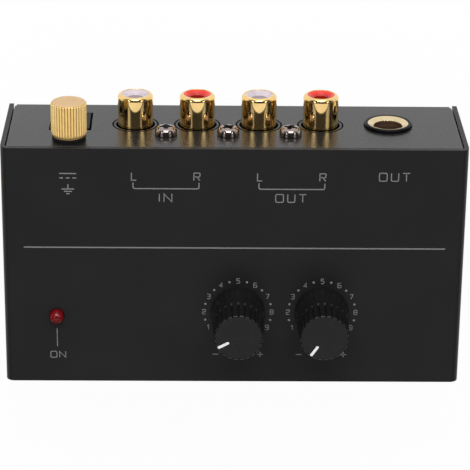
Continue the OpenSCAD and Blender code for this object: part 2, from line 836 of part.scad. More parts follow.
module rubber_feet() {
  color(moulding_black) in_box() for (x = [-1, 1], y = [-1, 1])
    translate([x * (box_w / 2 - foot_inset), y * (box_d / 2 - foot_inset), -foot_h])
      turned(concat(
        [[0, foot_h], [0, 0]],
        arc_points(foot_d / 2 - foot_edge, foot_edge, foot_edge, -90, 0),
        [[foot_d / 2, foot_h]]
      ));
}

// ---- circuit board ----

module circuit_board() {
  color(board_green) in_box() difference() {
    translate([board_left_x, board_front_y, board_under])
      cube([board_w, board_rear_y - board_front_y, board_t]);
    at_board_holes() drill(board_screw_d + 2 * screw_gap, board_under, board_t);
    for (p = all_leads) translate([p.x, p.y, 0]) drill(lead_hole_d, board_under, board_t);
  }
}

module board_standoffs() {
  color(tin) in_box() at_board_holes() difference() {
    union() {
      translate([0, 0, sheet]) cylinder(d = standoff_d, h = standoff_h);
      cylinder(d = spigot_d, h = sheet + cut);
    }
    drill(board_screw_d + 2 * run_gap, 0, sheet + standoff_h);
  }
}

module board_screws() {
  color(nickel) in_box() at_board_holes() translate([0, 0, board_top])
    pan_screw(board_head_d, board_head_h, board_screw_d, board_shank_len);
}

// Pan-head screw with its head on z = 0 and its shank below
module pan_screw(head_d, head_h, shank_d, shank_len) {
  crown = head_h * 0.65;
  edge = 0.15;
  difference() {
    turned(concat(
      [[0, -shank_len], [shank_d / 2, -shank_len], [shank_d / 2, 0]],
      [[head_d / 2 - edge, 0], [head_d / 2, edge]],
      arc_points(head_d / 2 - crown, head_h - crown, crown, 0, 90),
      [[0, head_h]]
    ));
    translate([0, 0, head_h]) cross_recess(head_d * 0.6, head_d * 0.19, head_h * 0.75);
  }
}

// ---- phono sockets ----

// One moulding: a tower and a collar for each shell, and a boss for each panel screw
module rca_housing() {
  plate_margin = 0.5;
  plate_x = rca_x(0) - tower_r - plate_margin;
  plate_w = rca_x(rca_count - 1) + tower_r + plate_margin - plate_x;
  plate_h = rca_h + panel_screw_rise;
  color(moulding_black) in_box() difference() {
    union() {
      translate([plate_x, panel_in_y - face_plate_t, board_top]) cube([plate_w, face_plate_t, plate_h]);
      for (i = [0:rca_count - 1]) {
        translate([rca_x(i), panel_in_y - block_depth / 2, board_top]) along_y(block_depth) tower_outline();
        at_panel(rca_x(i), rca_z) translate([0, 0, -sheet - cut]) cylinder(d = collar_d, h = sheet + cut);
      }
      at_panel_screws() translate([0, 0, -sheet - block_depth]) cylinder(r = boss_r, h = block_depth);
    }
    for (i = [0:rca_count - 1]) at_panel(rca_x(i), rca_z) {
      drill(collar_bore_d, cut - collar_gap_depth, collar_gap_depth - cut);
      drill(2 * (shell_neck_r + press_gap), cut - seat_depth, seat_depth);
      drill(contact_d + 2 * press_gap, -sheet - block_depth, seat_wall);
    }
    at_panel_screws() drill(panel_shank_d + 2 * run_gap, cut - sheet - panel_shank_len, panel_shank_len);
  }
}

module tower_outline() {
  translate([-tower_r, 0]) square([2 * tower_r, rca_h]);
  translate([0, rca_h]) circle(r = tower_r);
}

module rca_shell(i) {
  color(gold) in_box() at_panel(rca_x(i), rca_z) turned(concat(
    [[shell_bore_r, -seat_depth], [shell_neck_r, -seat_depth], [shell_neck_r, shell_root]],
    [[shell_r, shell_root]],
    arc_points(shell_r - shoulder, shell_reach - shoulder, shoulder, 0, 90),
    [[mouth_r + mouth_edge, shell_reach], [mouth_r, shell_reach - mouth_edge]],
    [[mouth_r, shell_reach - lip_t], [shell_bore_r, shell_reach - lip_t]]
  ));
}

// Coloured moulding with a dished face, held behind the shell's lip
module rca_insert(i) {
  rim_w = 0.35;
  body_r = shell_bore_r - press_gap;
  rim_r = mouth_r - press_gap;
  lip_z = shell_reach - lip_t - press_gap;
  bore_r = contact_d / 2 + press_gap;
  contact_end = dish_floor - contact_recess;
  color(i % 2 == 0 ? "white" : insert_red) in_box() at_panel(rca_x(i), rca_z) turned([
    [bore_r, -seat_depth],
    [body_r, -seat_depth],
    [body_r, lip_z],
    [rim_r, lip_z],
    [rim_r, insert_face],
    [rim_r - rim_w, insert_face - mouth_edge],
    [pin_hole_d / 2, dish_floor],
    [pin_hole_d / 2, contact_end],
    [bore_r, contact_end]
  ]);
}

// Turned sleeve that grips the plug's pin behind the panel, with a solder tail through the board
module rca_contact(i) {
  front = dish_floor - contact_recess - press_gap;
  grip_front = -sheet - near_gap;
  tail_top = contact_bore_d / 2 + near_gap;
  tail_len = rca_h + board_t + lead_below - tail_top;
  color(brass) in_box() at_panel(rca_x(i), rca_z) {
    translate([0, 0, -contact_back]) difference() {
      cylinder(d = contact_d, h = front + contact_back);
      drill(contact_bore_d, 0, front + contact_back);
      translate([0, 0, contact_back + grip_front])
        cylinder(d = contact_bore_d + contact_lead_in, h = front - grip_front + cut);
    }
    translate([-tail_w / 2, tail_top, -contact_back]) cube([tail_w, tail_len, tail_t]);
  }
}

module panel_screws() {
  turn = 35; // each cross recess is left at another angle
  color(nickel) in_box() for (i = [0:rca_count - 2])
    at_panel(panel_screw_x(i), rca_z + panel_screw_rise) rotate([0, 0, turn * i])
      pan_screw(panel_head_d, panel_head_h, panel_shank_d, panel_shank_len);
}

// ---- phone jack ----

module phone_jack_body() {
  nose_edge = 0.35;
  tip_hole_d = jack_bore_d + 0.7;
  color(moulding_black) in_box() difference() {
    union() {
      translate([jack_left_x, jack_back_y, board_top]) cube([jack_w, jack_depth, jack_h]);
      at_panel(jack_x, jack_z) turned(concat(
        [[0, -sheet - cut], [nose_d / 2, -sheet - cut]],
        arc_points(nose_d / 2 - nose_edge, nose_reach - nose_edge, nose_edge, 0, 90),
        [[0, nose_reach]]
      ));
    }
    at_panel(jack_x, jack_z) {
      // Stepped seat of the plated bush
      drill(bush_tube_d + 2 * press_gap, cut - jack_wall_front, jack_wall_front + nose_reach - cut);
      drill(bush_d + 2 * press_gap, cut - bush_flange_t, bush_flange_t + nose_reach - cut);
      // Space for the leaves, and the hole behind it for a long plug's tip
      translate([-jack_cavity / 2, -jack_cavity / 2, -jack_space_end])
        cube([jack_cavity, jack_cavity, jack_space_end - jack_wall_front]);
      drill(tip_hole_d, -sheet - jack_depth, jack_back_t);
    }
  }
}

// Plated bush with a bevelled mouth and a short lead-in in front of its bore
module phone_jack_bush() {
  bevel_depth = 0.7;
  rim_w = 0.2;
  lead_r = (jack_bore_d + jack_lead_in) / 2;
  lead_end = -sheet - near_gap;
  rim_z = nose_reach - near_gap;
  color(gold) in_box() at_panel(jack_x, jack_z) turned([
    [jack_bore_d / 2, -bush_len],
    [bush_tube_d / 2, -bush_len],
    [bush_tube_d / 2, -bush_flange_t],
    [bush_d / 2, -bush_flange_t],
    [bush_d / 2, rim_z],
    [bush_d / 2 - rim_w, rim_z + near_gap / 2],
    [bush_d / 2 - 2 * rim_w, rim_z],
    [lead_r, rim_z - bevel_depth],
    [lead_r, lead_end],
    [jack_bore_d / 2, lead_end]
  ]);
}

// A leaf that runs along the plug and is held against the space's wall; side 1 is up, -1 is down
module jack_leaf(side, from_depth) {
  foot_len = 2.5;
  to_depth = from_depth + leaf_len;
  at_panel(jack_x, jack_z) mirror([0, side > 0 ? 1 : 0, 0]) {
    translate([-leaf_w / 2, leaf_offset, -to_depth]) cube([leaf_w, leaf_t, leaf_len]);
    translate([-leaf_w / 2, leaf_offset, -to_depth]) cube([leaf_w, jack_cavity / 2 - leaf_offset, leaf_t]);
    translate([-leaf_w / 2, jack_cavity / 2 - leaf_t, -to_depth]) cube([leaf_w, leaf_t, foot_len]);
  }
}

module phone_jack_tip_spring() {
  color(brass) in_box() jack_leaf(1, jack_space_end - tip_leaf_gap - leaf_len);
}

module phone_jack_ring_spring() {
  color(brass) in_box() jack_leaf(-1, bush_len + ring_leaf_gap);
}

// ---- power socket ----

module dc_socket_body() {
  color(moulding_black) in_box() difference() {
    union() {
      translate([dc_x - dc_w / 2, panel_out_y - dc_recess - dc_face_t, board_top])
        cube([dc_w, dc_face_t, dc_h]);
      translate([dc_x, panel_out_y - dc_recess - dc_depth / 2, board_top]) along_y(dc_depth) {
        translate([-dc_barrel_r, 0]) square([2 * dc_barrel_r, dc_axis_h]);
        translate([0, dc_axis_h]) circle(r = dc_barrel_r);
      }
    }
    at_panel(dc_x, dc_axis_z) {
      drill(dc_bore_d, cut - dc_recess - dc_bore_depth, dc_bore_depth);
      drill(dc_pin_d + 2 * press_gap, -dc_back, dc_depth);
    }
  }
}

module dc_socket_pin() {
  tip = 0.5;
  front = dc_recess + dc_pin_recess;
  back = dc_back + tail_t;
  color(tin) in_box() at_panel(dc_x, dc_axis_z) {
    turned(concat(
      [[0, -back], [dc_pin_d / 2, -back]],
      arc_points(dc_pin_d / 2 - tip, -front - tip, tip, 0, 90),
      [[0, -front]]
    ));
    // Solder tail through the board
    translate([-tail_w / 2, 0, -back])
      cube([tail_w, dc_axis_h + board_t + lead_below, tail_t - press_gap]);
  }
}

module dc_socket_spring() {
  lowest = dc_bore_d / 2 - 0.25; // the flat spring lies on the bore's curved floor
  color(tin) in_box() at_panel(dc_x, dc_axis_z)
    translate([-dc_spring_w / 2, lowest - dc_spring_t, -dc_recess - dc_bore_depth])
      cube([dc_spring_w, dc_spring_t, dc_spring_len]);
}

// ---- ground terminal ----

// Knurled thumb screw with its plain shank through the panel and the nut
module ground_screw() {
  edge = 0.4;
  shank_end = thumb_seat - ground_shank_len;
  color(brass) in_box() at_panel(ground_x, ground_z) difference() {
    turned([
      [0, shank_end],
      [ground_shank_d / 2 - edge, shank_end],
      [ground_shank_d / 2, shank_end + edge],
      [ground_shank_d / 2, thumb_seat],
      [thumb_d / 2 - thumb_foot_w, thumb_seat],
      [thumb_d / 2, thumb_seat + thumb_foot_h],
      [thumb_d / 2, thumb_seat + thumb_len - edge],
      [thumb_d / 2 - edge, thumb_seat + thumb_len],
      [0, thumb_seat + thumb_len]
    ]);
    for (k = [0:knurl_count - 1]) rotate([0, 0, 360 * k / knurl_count])
      translate([0, 0, thumb_seat - cut]) linear_extrude(height = thumb_len + 2 * cut)
        groove_outline(thumb_d / 2 - knurl_depth, 90);
  }
}

// A V-shaped groove whose root is at the given radius
module groove_outline(root_r, angle) {
  mouth = 2;
  half_w = mouth * tan(angle / 2);
  polygon([[root_r, 0], [root_r + mouth, half_w], [root_r + mouth, -half_w]]);
}

module ground_washer() {
  color(moulding_black) in_box() at_panel(ground_x, ground_z) translate([0, 0, near_gap])
    tube(washer_d, ground_shank_d + 2 * run_gap, washer_t);
}

module ground_nut() {
  color(tin) in_box() at_panel(ground_x, ground_z) translate([0, 0, -sheet - nut_t]) difference() {
    cylinder(d = nut_flats / cos(30), h = nut_t, $fn = 6);
    drill(ground_shank_d + 2 * run_gap, 0, nut_t);
  }
}

// ---- lamp ----

module power_led() {
  r = led_d / 2;
  flange_top = led_flange_z + led_flange_t;
  color(lamp_red) in_box() translate([led_x, led_y, 0]) turned(concat(
    [[0, led_flange_z], [led_flange_d / 2, led_flange_z], [led_flange_d / 2, flange_top], [r, flange_top]],
    arc_points(0, box_h + led_reach - r, r, 0, 90)
  ));
}

module led_spacer() {
  spacer_h = led_flange_z - board_top;
  color(moulding_black) in_box() translate([led_x, led_y, board_top]) difference() {
    cylinder(d = led_flange_d + 2 * led_spacer_w, h = spacer_h);
    for (side = [-1, 1]) translate([side * lead_pitch / 2, 0, 0]) drill(lead_d + 2 * near_gap, 0, spacer_h);
  }
}

module led_leads() {
  color(tin) in_box() leads(pair(led_x, led_y, lead_pitch), lead_d, led_flange_z - board_top);
}

// ---- potentiometers ----

module pot_case(i) {
  color(moulding_black) in_box() {
    at_pot(i) translate([-pot_w / 2, -pot_d / 2, board_top]) difference() {
      cube([pot_w, pot_d, pot_h]);
      translate([pot_w / 2, pot_d / 2, pot_floor_t]) cylinder(d = cavity_d, h = pot_h);
    }
    leads(pot_pins(i), resistor_lead_d, pot_floor_t / 2);
  }
}

module pot_bush(i) {
  bush_d = shaft_d + 2 * pot_bush_wall;
  color(tin) in_box() at_pot(i) translate([0, 0, frame_z]) difference() {
    union() {
      translate([-pot_w / 2, -pot_d / 2, 0]) cube([pot_w, pot_d, frame_t]);
      cylinder(d = bush_d, h = frame_t + pot_bush_len);
    }
    drill(shaft_d + 2 * run_gap, 0, frame_t + pot_bush_len);
  }
}

// Two wiper discs on one hub, one for each channel
module rotor(i) {
  hub_h = rotor_gang + rotor_t;
  color(phenolic_brown) in_box() at_pot(i) translate([0, 0, board_top + pot_floor_t + rotor_lift])
    difference() {
      union() {
        for (k = [0, 1]) translate([0, 0, k * rotor_gang]) cylinder(d = rotor_d, h = rotor_t);
        cylinder(d = tail_d + 2 * rotor_hub_wall, h = hub_h);
      }
      drill(tail_d + 2 * press_gap, 0, hub_h);
    }
}

module shaft(i) {
  tip = 0.4;
  tail_z = board_top + pot_floor_t + rotor_lift / 2;
  collar_top = frame_z - near_gap;
  collar_r = shaft_d / 2 + shaft_collar_w;
  color(tin) in_box() at_dial(i) difference() {
    turned([
      [0, tail_z],
      [tail_d / 2, tail_z],
      [tail_d / 2, collar_top - shaft_collar_t],
      [collar_r, collar_top - shaft_collar_t],
      [collar_r, collar_top],
      [shaft_d / 2, collar_top],
      [shaft_d / 2, shaft_top_z - tip],
      [shaft_d / 2 - tip, shaft_top_z],
      [0, shaft_top_z]
    ]);
    translate([-shaft_slot_w / 2, -shaft_d, shaft_top_z - shaft_slot_len])
      cube([shaft_slot_w, 2 * shaft_d, shaft_slot_len + cut]);
  }
}

// ---- knobs ----

// Tapered skirt with V-shaped flutes round its upper half, hollow below round a hub
module knob(i) {
  color(knob_black) in_box() at_dial(i) translate([0, 0, knob_z]) difference() {
    turned(concat(
      [[0, 0], [knob_d / 2, 0], [knob_d / 2, knob_band]],
      arc_points(knob_top_d / 2 - knob_edge, knob_h - knob_edge, knob_edge, 0, 90),
      [[0, knob_h]]
    ));
    flutes();
    translate([0, 0, -cut]) tube(knob_d - 2 * knob_wall, hub_d, knob_hollow + cut);
    drill(shaft_d + 2 * press_gap, 0, knob_h - crown_t - cut);
    translate([0, 0, knob_h - pointer_t - press_gap])
      linear_extrude(height = pointer_t + cut) pointer_outline(pointer_w / 2 + press_gap);
  }
}

// V grooves along the tapered skirt, each running out on one cone round the knob
module flutes() {
  end_r = knob_top_d / 2 + flute_len * tan(skirt_tilt);
  exit_r = end_r + flute_end_z / tan(flute_exit_angle);
  difference() {
    for (k = [0:flute_count - 1]) rotate([0, 0, 360 * k / flute_count + flute_shift])
      translate([knob_top_d / 2 - flute_depth, 0, knob_h]) rotate([0, -skirt_tilt, 0])
        translate([0, 0, -flute_len - cut]) linear_extrude(height = flute_len + 2 * cut)
          groove_outline(0, flute_angle);
    cylinder(r1 = exit_r, r2 = 0, h = exit_r * tan(flute_exit_angle), $fn = 64);
  }
}

// A round-ended bar from near the middle to the rim
module pointer_outline(half_w) {
  first_y = pointer_start + pointer_w / 2;
  last_y = pointer_start + pointer_len - pointer_w / 2;
  translate([-half_w, first_y]) square([2 * half_w, last_y - first_y]);
  for (y = [first_y, last_y]) translate([0, y]) circle(r = half_w);
}

module pointer(i) {
  color("white") in_box() at_dial(i) translate([0, 0, knob_z + knob_h - pointer_t])
    linear_extrude(height = pointer_t + pointer_proud) pointer_outline(pointer_w / 2);
}

// ---- board parts ----

// Eight-pin amplifier chip with its legs bent down through the board
module opamp(i) {
  side_draft = 0.3;
  notch_r = 1;
  notch_depth = 0.5;
  leg_z = chip_lift + chip_t / 2;
  color(moulding_black) in_box() {
    translate([chip_x, chip_y(i), board_top]) {
      difference() {
        translate([0, 0, chip_lift]) along_x(chip_len) polygon([
          [-chip_w / 2 + side_draft, 0],
          [chip_w / 2 - side_draft, 0],
          [chip_w / 2, chip_t / 2],
          [chip_w / 2 - side_draft, chip_t],
          [-chip_w / 2 + side_draft, chip_t],
          [-chip_w / 2, chip_t / 2]
        ]);
        translate([-chip_len / 2, 0, chip_lift + chip_t - notch_depth])
          cylinder(r = notch_r, h = notch_depth + cut);
      }
      for (side = [-1, 1], k = [-1.5:1.5]) translate([k * leg_pitch - leg_w / 2, 0, leg_z - leg_t])
        mirror([0, side > 0 ? 0 : 1, 0]) translate([0, chip_w / 2 - side_draft, 0])
          cube([leg_w, leg_out + side_draft, leg_t]);
    }
    for (p = chip_leads(i)) translate([p.x - leg_w / 2, p.y - leg_t / 2, board_under - lead_below])
      cube([leg_w, leg_t, lead_below + board_t + leg_z]);
  }
}

// Can capacitor with its rolled groove and rounded shoulder, on its two leads
module can_capacitor(x, y, d, h, pitch) {
  roll = 0.5;
  roll_depth = 0.3;
  groove_z = 1.6;
  foot_edge = 0.2;
  color(sleeve_blue) in_box() {
    translate([x, y, board_top]) turned(concat(
      [[0, 0], [d / 2 - foot_edge, 0], [d / 2, foot_edge]],
      [for (k = [0:fine]) let (a = 180 * k / fine) [d / 2 - roll_depth * sin(a), groove_z - roll * cos(a)]],
      arc_points(d / 2 - roll, h - roll, roll, 0, 90),
      [[0, h]]
    ));
    leads(pair(x, y, pitch), resistor_lead_d, foot_edge);
  }
}

// Box capacitor on two feet, with its leads
module film_capacitor(i) {
  foot_h = 0.4;
  foot_w = 1;
  color(film_yellow) in_box() {
    translate([film_x(i) - film_len / 2, film_y - film_w / 2, board_top]) difference() {
      cube([film_len, film_w, film_h]);
      translate([2 * foot_w, -cut, -cut]) cube([film_len - 4 * foot_w, film_w + 2 * cut, cut + foot_h]);
    }
    leads(pair(film_x(i), film_y, film_lead_pitch), resistor_lead_d, foot_h);
  }
}

// Upright regulator with a metal tab behind its moulding
module voltage_regulator() {
  lead_w = 0.8;
  lead_t = 0.5;
  color(moulding_black) in_box() {
    translate([reg_x - reg_w / 2, reg_y, board_top + reg_lift]) {
      cube([reg_w, reg_t, reg_h]);
      translate([0, reg_t - reg_tab_t, 0]) difference() {
        cube([reg_w, reg_tab_t, reg_h + reg_tab_h]);
        translate([reg_w / 2, -cut, reg_h + reg_tab_h / 2])
          rotate([-90, 0, 0]) cylinder(d = reg_hole_d, h = reg_tab_t + 2 * cut);
      }
    }
    for (p = reg_leads()) translate([p.x - lead_w / 2, p.y - lead_t / 2, board_under - lead_below])
      cube([lead_w, lead_t, lead_below + board_t + reg_lift + lead_t]);
  }
}

// Axial resistors, each on its two bent leads
module resistors() {
  color(lacquer_tan) in_box() for (i = [0:resistor_count - 1]) {
    translate([resistor_x(i), resistor_y, board_top + resistor_rise]) rotate([90, 0, 0]) {
      cylinder(d = resistor_d, h = resistor_len, center = true);
      cylinder(d = resistor_lead_d, h = resistor_span, center = true);
    }
    leads(resistor_leads(i), resistor_lead_d, resistor_rise);
  }
}

// ---- nodes ----

top_cover();
base_tray();
cover_screws();
rubber_feet();
circuit_board();
board_standoffs();
board_screws();
rca_housing();
panel_screws();
for (i = [0:rca_count - 1]) {
  rca_shell(i);
  rca_insert(i);
  rca_contact(i);
}
phone_jack_body();
phone_jack_bush();
phone_jack_tip_spring();
phone_jack_ring_spring();
dc_socket_body();
dc_socket_pin();
dc_socket_spring();
ground_screw();
ground_washer();
ground_nut();
power_led();
led_spacer();
led_leads();
for (i = [0, 1]) {
  pot_case(i);
  pot_bush(i);
  rotor(i);
  shaft(i);
  knob(i);
  pointer(i);
}
opamp(0);  // opamp_left
opamp(1);  // opamp_right
can_capacitor(filter_x, filter_y, filter_d, filter_h, filter_lead_pitch);  // filter_capacitor
voltage_regulator();
for (i = [0:cap_count - 1]) {
  can_capacitor(cap_x(i), cap_y, cap_d, cap_h, cap_lead_pitch);
}
for (i = [0, 1]) {
  film_capacitor(i);
}
resistors();
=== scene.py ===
"""Looks of a small phono preamp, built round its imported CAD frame."""

import json
import math

import bmesh
import bpy
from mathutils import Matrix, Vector


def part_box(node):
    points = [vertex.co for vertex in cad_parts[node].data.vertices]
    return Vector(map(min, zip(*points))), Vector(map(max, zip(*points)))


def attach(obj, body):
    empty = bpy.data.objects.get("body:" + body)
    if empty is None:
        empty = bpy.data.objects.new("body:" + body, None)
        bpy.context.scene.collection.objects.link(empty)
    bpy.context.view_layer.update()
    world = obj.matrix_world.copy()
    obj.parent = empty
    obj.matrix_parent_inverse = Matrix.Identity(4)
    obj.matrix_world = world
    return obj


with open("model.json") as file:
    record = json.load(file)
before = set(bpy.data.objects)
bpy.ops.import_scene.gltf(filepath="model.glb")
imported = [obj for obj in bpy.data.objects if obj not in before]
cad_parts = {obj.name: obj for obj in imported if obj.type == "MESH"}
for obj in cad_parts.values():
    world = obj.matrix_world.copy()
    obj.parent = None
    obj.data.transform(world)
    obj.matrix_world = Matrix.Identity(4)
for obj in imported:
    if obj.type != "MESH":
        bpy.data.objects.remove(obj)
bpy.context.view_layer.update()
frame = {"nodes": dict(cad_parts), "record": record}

# ---- sizes worked out from the frame, in metres ----

MM = 0.001
COVER_LO, COVER_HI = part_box("top_cover")
FACE_Z = COVER_HI.z
FACE_CENTRE = (COVER_LO + COVER_HI) / 2
DIALS = ("level", "volume")

# Depth below the crests of its knurl at which the painted shade in the thumb screw's grooves is darkest
GROOVE_SHADE_DEPTH = 0.25 * MM

# Reach of the painted shade in the panel screws' cross recess, as a share of their heads' radius
RECESS_SHARE = 0.6

# Radius of the painted dark disc of shade at the middle of that recess, as a share of its reach
SHADE_CORE_SHARE = 0.66

# Widths of the soft edges of the painted shade in that recess and of its dark middle, as shares of its
# reach
RECESS_EDGE = 0.03
SHADE_CORE_EDGE = 0.05

# Depth over which painted shade darkens the red inserts below their lip
DISH_SHADE_DEPTH = 1.0 * MM

# Depth of the bevel at the phone jack's mouth
MOUTH_DEPTH = 0.78 * MM

# Legends are printed this high above the paint, and reach this far into it
INK_HEIGHT = 0.012 * MM
INK_DEPTH = 0.02 * MM

# Corner radius of a printed sign, as a share of what its strokes ask for
CORNER_SHARE = 0.6

# Width of the lines of the socket and power legends, in millimetres
LEGEND_WEIGHT = 0.28


def centre_of(node):
    """The middle of a CAD node's box."""
    lo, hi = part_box(node)
    return (lo + hi) / 2


# ---- material building blocks ----


class Finish:
    """A material with its Principled shader, and short calls that add nodes to it."""

    bevel_samples = 6

    def __init__(self, name, color, roughness, metallic=0.0, **sockets):
        self.material = bpy.data.materials.new(name)
        self.material.use_nodes = True
        self.tree = self.material.node_tree
        self.shader = self.tree.nodes["Principled BSDF"]
        self.material.diffuse_color = (*color, 1.0)
        self.set("Base Color", (*color, 1.0))
        self.set("Roughness", roughness)
        self.set("Metallic", metallic)
        for socket, value in sockets.items():
            self.set(socket.replace("_", " "), value)
        self.normal = None
        self.place = self.node("ShaderNodeTexCoord").outputs["Object"]

    def node(self, kind, **inputs):
        """A new node, with its input sockets set or linked by name."""
        made = self.tree.nodes.new(kind)
        for name, value in inputs.items():
            self.put(made.inputs[name.replace("_", " ")], value)
        return made

    def put(self, socket, value):
        """Links an output to a socket, or sets the socket's own value."""
        if isinstance(value, bpy.types.NodeSocket):
            self.tree.links.new(value, socket)
        else:
            socket.default_value = value

    def set(self, name, value):
        """Links or sets one input of the shader."""
        self.put(self.shader.inputs[name], value)

    def math(self, operation, a, b=0.0, clamp=False):
        """The result of one Math node."""
        made = self.tree.nodes.new("ShaderNodeMath")
        made.operation = operation
        made.use_clamp = clamp
        self.put(made.inputs[0], a)
        self.put(made.inputs[1], b)
        return made.outputs[0]

    def vector(self, operation, a, b, output="Vector"):
        """The result of one Vector Math node."""
        made = self.tree.nodes.new("ShaderNodeVectorMath")
        made.operation = operation
        self.put(made.inputs[0], a)
        self.put(made.inputs[1], b)
        return made.outputs[output]

    def noise(self, size, detail=3.0):
        """Noise from 0 to 1 whose blobs are about size metres across."""
        made = self.node("ShaderNodeTexNoise", Vector=self.place, Scale=1 / size, Detail=detail)
        return made.outputs["Fac"]

    def grain(self, size):
        """Plainer noise, for speckle and bump."""
        return self.noise(size, detail=2.0)

    def along(self, axis):
        """The place along one axis, in metres."""
        return self.node("ShaderNodeSeparateXYZ", Vector=self.place).outputs[axis]

    def off_axis(self, centre):
        """The distance from the line along Y through centre, in metres."""
        offset = self.vector("SUBTRACT", self.place, tuple(centre))
        flat = self.vector("MULTIPLY", offset, (1.0, 0.0, 1.0))
        return self.vector("LENGTH", flat, (0, 0, 0), "Value")

    def spread(self, value, low, high, start=0.3, end=0.7):
        """Maps a value from start..end to low..high."""
        made = self.node("ShaderNodeMapRange", Value=value)
        made.inputs["From Min"].default_value = start
        made.inputs["From Max"].default_value = end
        made.inputs["To Min"].default_value = low
        made.inputs["To Max"].default_value = high
        return made.outputs["Result"]

    def rising(self, value, start, end):
        """0 up to start and 1 from end on."""
        return self.spread(value, 0.0, 1.0, start, end)

    def falling(self, value, start, end):
        """1 up to start and 0 from end on."""
        return self.spread(value, 1.0, 0.0, start, end)

    def mix(self, factor, a, b):
        """Two colours mixed by a factor."""
        made = self.tree.nodes.new("ShaderNodeMix")
        made.data_type = "RGBA"
        self.put(made.inputs["Factor"], factor)
        self.put(made.inputs["A"], a if isinstance(a, bpy.types.NodeSocket) else (*a, 1.0))
        self.put(made.inputs["B"], b if isinstance(b, bpy.types.NodeSocket) else (*b, 1.0))
        return made.outputs["Result"]

    def clouded(self, color, size, dark, light):
        """A colour in soft clouds of that size, from dark to light times as bright."""
        cloud = self.spread(self.noise(size), 0.0, 1.0)
        return self.mix(cloud, shade(color, dark), shade(color, light))

    def plate_outside(self, inside, tone, roughness, painted_shade_color):
        """Metal of that tone, with a dull colour of painted shade where inside is 1."""
        dull_roughness = 0.5
        self.set("Base Color", self.mix(inside, tone, painted_shade_color))
        self.set("Metallic", self.math("SUBTRACT", 1.0, inside))
        self.set("Roughness", self.mix(inside, (roughness,) * 3, (dull_roughness,) * 3))

    def rounded(self, radius):
        """Shades the edges as if they were rounded."""
        made = self.node("ShaderNodeBevel", Radius=radius)
        made.samples = self.bevel_samples
        self.normal = made.outputs["Normal"]

    def edges(self, radius, gain):
        """1 along the edges and 0 on the flats."""
        bevel = self.node("ShaderNodeBevel", Radius=radius)
        bevel.samples = self.bevel_samples
        flat = self.node("ShaderNodeNewGeometry").outputs["Normal"]
        same = self.vector("DOT_PRODUCT", bevel.outputs["Normal"], flat, "Value")
        return self.math("MULTIPLY", self.math("SUBTRACT", 1.0, same), gain, clamp=True)

    def bump(self, height, depth):
        """Raises the surface by up to depth metres where height is 1."""
        made = self.node("ShaderNodeBump", Height=height, Distance=depth)
        if self.normal:
            self.put(made.inputs["Normal"], self.normal)
        self.normal = made.outputs["Normal"]

    def done(self):
        """The finished material."""
        if self.normal:
            self.set("Normal", self.normal)
        return self.material


def shade(color, factor):
    """A colour made lighter or darker."""
    return tuple(min(1.0, c * factor) for c in color)


# ---- finishes ----


def powder_coat(name, color, roughness, index):
    """Fine satin powder coat, a little lighter where the edges are handled."""
    handled_color = (0.03, 0.03, 0.03)
    speckle_share = 0.35
    f = Finish(name, color, roughness, IOR=index)
    speckle = f.spread(f.grain(0.16 * MM), 0.0, 1.0)
    tone = f.clouded(color, 18 * MM, dark=0.88, light=1.12)
    tone = f.mix(f.math("MULTIPLY", speckle, speckle_share), tone, shade(color, 1.5))
    patches = f.spread(f.noise(2 * MM), 0.4, 1.0)
    worn = f.math("MULTIPLY", f.edges(0.35 * MM, gain=2.5), patches)
    f.set("Base Color", f.mix(worn, tone, handled_color))
    f.set("Roughness", f.spread(speckle, roughness - 0.05, roughness + 0.05, 0.0, 1.0))
    f.rounded(0.18 * MM)
    f.bump(f.grain(0.32 * MM), depth=0.006 * MM)
    return f.done()


def moulded(name, color, roughness, grain=0.25 * MM, depth=0.004 * MM, radius=0.08 * MM, **sockets):
    """Moulded plastic with a fine spark-eroded grain and slightly rubbed edges, lighter as wear; on the
    knobs this lighter rim is also a painted highlight.
    """
    f = Finish(name, color, roughness, **sockets)
    tone = f.clouded(color, 3 * MM, dark=0.85, light=1.15)
    # Lighter edges: rubbed wear, and on the knobs a painted highlight along the rim.
    f.set("Base Color", f.mix(f.edges(2 * radius, gain=1.5), tone, shade(color, 2.2)))
    f.set("Roughness", f.spread(f.noise(0.6 * MM), roughness - 0.06, roughness + 0.06))
    f.rounded(radius)
    f.bump(f.grain(grain), depth)
    return f.done()


def dished(name, color, roughness):
    """The red inserts' smooth plastic, with shade painted darker below their lip."""
    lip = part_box("rca_insert_2")[1].y
    rim = 0.1 * MM
    f = Finish(name, color, roughness)
    tone = f.clouded(color, 1.2 * MM, dark=0.94, light=1.06)
    below = f.falling(f.along("Y"), lip - DISH_SHADE_DEPTH, lip - rim)
    # Painted shade: the dish is coloured darker below the lip.
    f.set("Base Color", f.mix(below, tone, shade(color, 0.45)))
    f.set("Roughness", f.spread(f.noise(0.5 * MM), roughness - 0.05, roughness + 0.05))
    f.rounded(0.05 * MM)
    f.bump(f.grain(0.3 * MM), depth=0.001 * MM)
    return f.done()


def plated(name, color, roughness, depth=0.0008 * MM):
    """Plated or turned metal: slight tarnish clouds, fine grain and brighter edges."""
    radius = 0.05 * MM
    f = Finish(name, color, roughness, metallic=1.0)
    tone = f.clouded(color, 2.2 * MM, dark=0.92, light=1.06)
    f.set("Base Color", f.mix(f.edges(2 * radius, gain=1.5), tone, shade(color, 1.15)))
    f.set("Roughness", f.spread(f.noise(0.5 * MM), roughness * 0.8, roughness * 1.25))
    f.rounded(radius)
    f.bump(f.grain(0.08 * MM), depth)
    return f.done()


